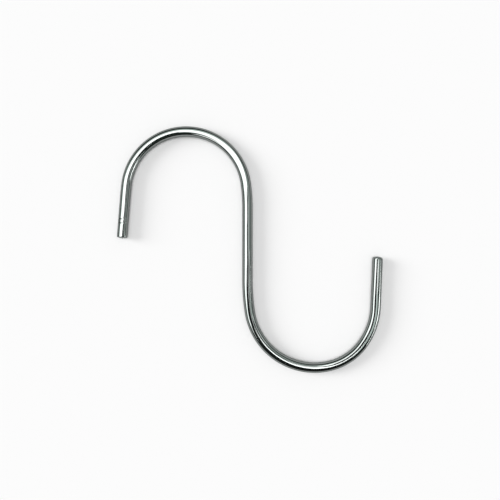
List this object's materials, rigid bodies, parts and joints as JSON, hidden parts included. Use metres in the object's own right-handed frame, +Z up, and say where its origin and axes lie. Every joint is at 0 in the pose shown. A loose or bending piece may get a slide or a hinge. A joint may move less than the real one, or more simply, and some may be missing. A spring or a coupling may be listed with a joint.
{
  "type": "s hook",
  "caption": "Polished round-wire S hook, bent flat in one plane: it hangs over a rail by one open bend and carries a load in the other.",
  "frame": {"origin": "middle of the rectangle that the hook covers, on the surface that it lies on", "axes": "+Z up out of the surface, +Y along the straight shank towards the upper hook, +X across the hooks towards the lower hook's free leg"},
  "size_m": [0.1036, 0.096, 0.004],
  "materials": {
    "polished_wire": "bright drawn and polished steel wire, with faint lengthwise drawing lines"
  },
  "bodies": {
    "root": {"s_hook": "polished_wire"}
  },
  "joints": []
}
